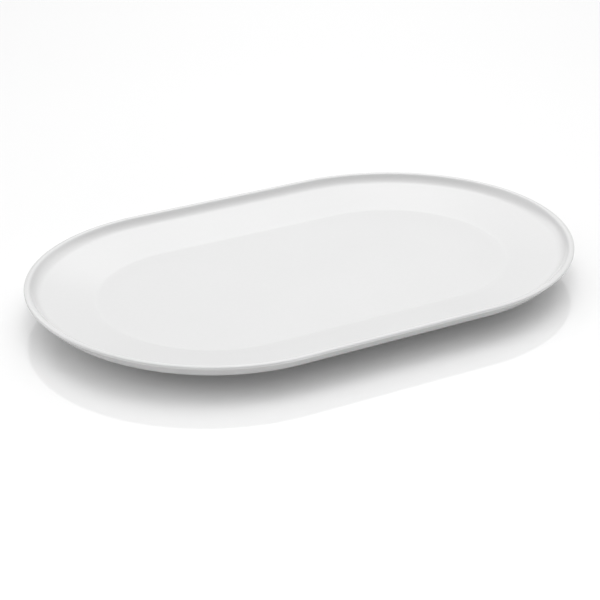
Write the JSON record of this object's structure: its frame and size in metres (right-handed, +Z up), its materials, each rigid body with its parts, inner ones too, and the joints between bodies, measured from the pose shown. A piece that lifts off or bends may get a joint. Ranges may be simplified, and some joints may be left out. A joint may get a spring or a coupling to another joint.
{
  "type": "oval plate",
  "caption": "White porcelain serving platter with straight sides, half-round ends, a flat well, a rising flange and an upturned lip that lifts a little at the ends, standing on a bare foot ring.",
  "frame": {"origin": "middle of the plane that the foot ring stands on, under the middle of the well", "axes": "+X along the plate's length, +Y across its width, +Z up out of the well"},
  "size_m": [0.36, 0.2328, 0.021],
  "materials": {
    "biscuit_porcelain": "bare fired porcelain, ground flat on the standing face",
    "white_glaze": "smooth white glaze with a soft gloss"
  },
  "bodies": {
    "root": {"porcelain_body": "biscuit_porcelain", "outer_glaze": "white_glaze", "underside_glaze": "white_glaze"}
  },
  "joints": []
}
